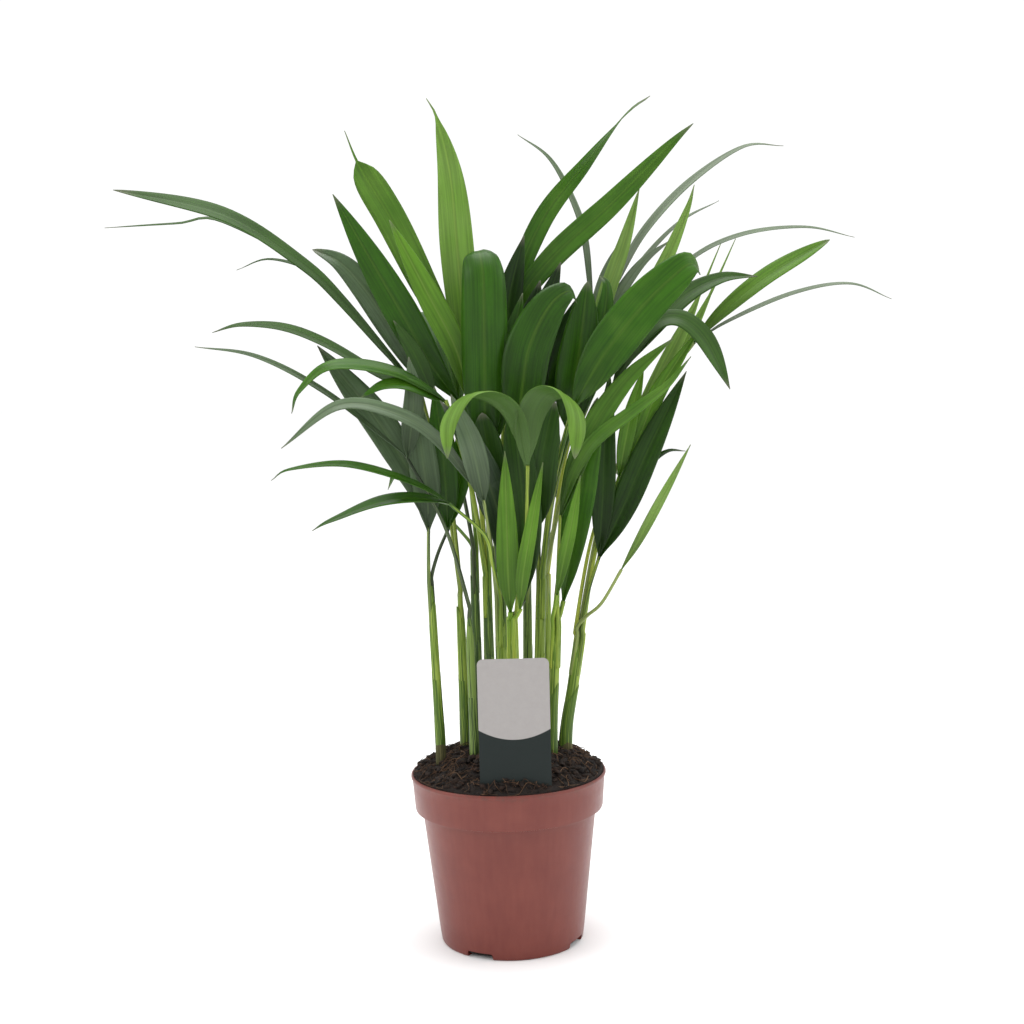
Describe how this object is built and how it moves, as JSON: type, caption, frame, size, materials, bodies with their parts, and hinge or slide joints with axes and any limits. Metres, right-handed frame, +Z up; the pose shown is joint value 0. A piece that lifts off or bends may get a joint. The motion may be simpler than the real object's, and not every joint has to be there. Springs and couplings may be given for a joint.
{
  "type": "potted palm",
  "caption": "Young areca palm in a round tapered terracotta-coloured nursery pot: a clump of slim canes, arching stalks with narrow folded blades, heaped peat and a blank plant label.",
  "frame": {"origin": "centre of the pot's flat foot, on the surface it stands on", "axes": "+Z up along the pot's axis, -Y towards the front with the plant label, +X to the right seen from the front"},
  "size_m": [0.469, 0.227, 0.516],
  "materials": {
    "pot": "satin moulded polypropylene in terracotta colour",
    "soil": "loose damp peat with fibres",
    "label": "thin matt printed plastic card, pale above and dark green below",
    "stem": "smooth rolled leaf sheaths, a soft living stem",
    "leaf_dark": "waxy leaf, semi-gloss",
    "leaf_mid": "waxy leaf, semi-gloss",
    "leaf_bright": "young waxy leaf, semi-gloss",
    "leaf_grey": "leaf with a grey-green sheen"
  },
  "bodies": {
    "root": {"label": "label", "leaf_back_left": "leaf_mid", "leaf_back_low_left": "leaf_mid", "leaf_back_low_right": "leaf_dark", "leaf_back_middle": "leaf_dark", "leaf_back_right": "leaf_mid", "leaf_bright": "leaf_bright", "leaf_broad_fold": "leaf_mid", "leaf_centre_back": "leaf_dark", "leaf_centre_pair": "leaf_mid", "leaf_centre_right": "leaf_mid", "leaf_crook": "leaf_grey", "leaf_dark_fold": "leaf_dark", "leaf_far_right": "leaf_grey", "leaf_front_arch": "leaf_mid", "leaf_front_slim": "leaf_bright", "leaf_front_upright": "leaf_bright", "leaf_grey_far": "leaf_dark", "leaf_grey_left": "leaf_grey", "leaf_grey_middle": "leaf_dark", "leaf_grey_right": "leaf_dark", "leaf_inner_east_low": "leaf_bright", "leaf_left_arch": "leaf_dark", "leaf_left_broad": "leaf_grey", "leaf_left_droop": "leaf_mid", "leaf_left_droop_low": "leaf_grey", "leaf_left_fine": "leaf_grey", "leaf_left_grey": "leaf_grey", "leaf_left_long": "leaf_dark", "leaf_left_low": "leaf_mid", "leaf_left_tall": "leaf_mid", "leaf_light_pair": "leaf_bright", "leaf_light_tips": "leaf_bright", "leaf_right_bright": "leaf_bright", "leaf_right_dark": "leaf_dark", "leaf_right_deep": "leaf_dark", "leaf_right_fan": "leaf_grey", "leaf_right_inner": "leaf_mid", "leaf_right_mid": "leaf_mid", "leaf_right_outer": "leaf_bright", "leaf_right_over": "leaf_grey", "leaf_right_tall": "leaf_mid", "leaf_round_top": "leaf_mid", "leaf_west_inner": "leaf_mid", "pot": "pot", "soil": "soil", "stem_centre": "stem", "stem_east": "stem", "stem_east_back": "stem", "stem_east_front": "stem", "stem_inner_east": "stem", "stem_inner_west": "stem", "stem_north": "stem", "stem_north_east": "stem", "stem_north_west": "stem", "stem_south": "stem", "stem_west": "stem", "stem_west_back": "stem", "stem_west_front": "stem"}
  },
  "joints": []
}
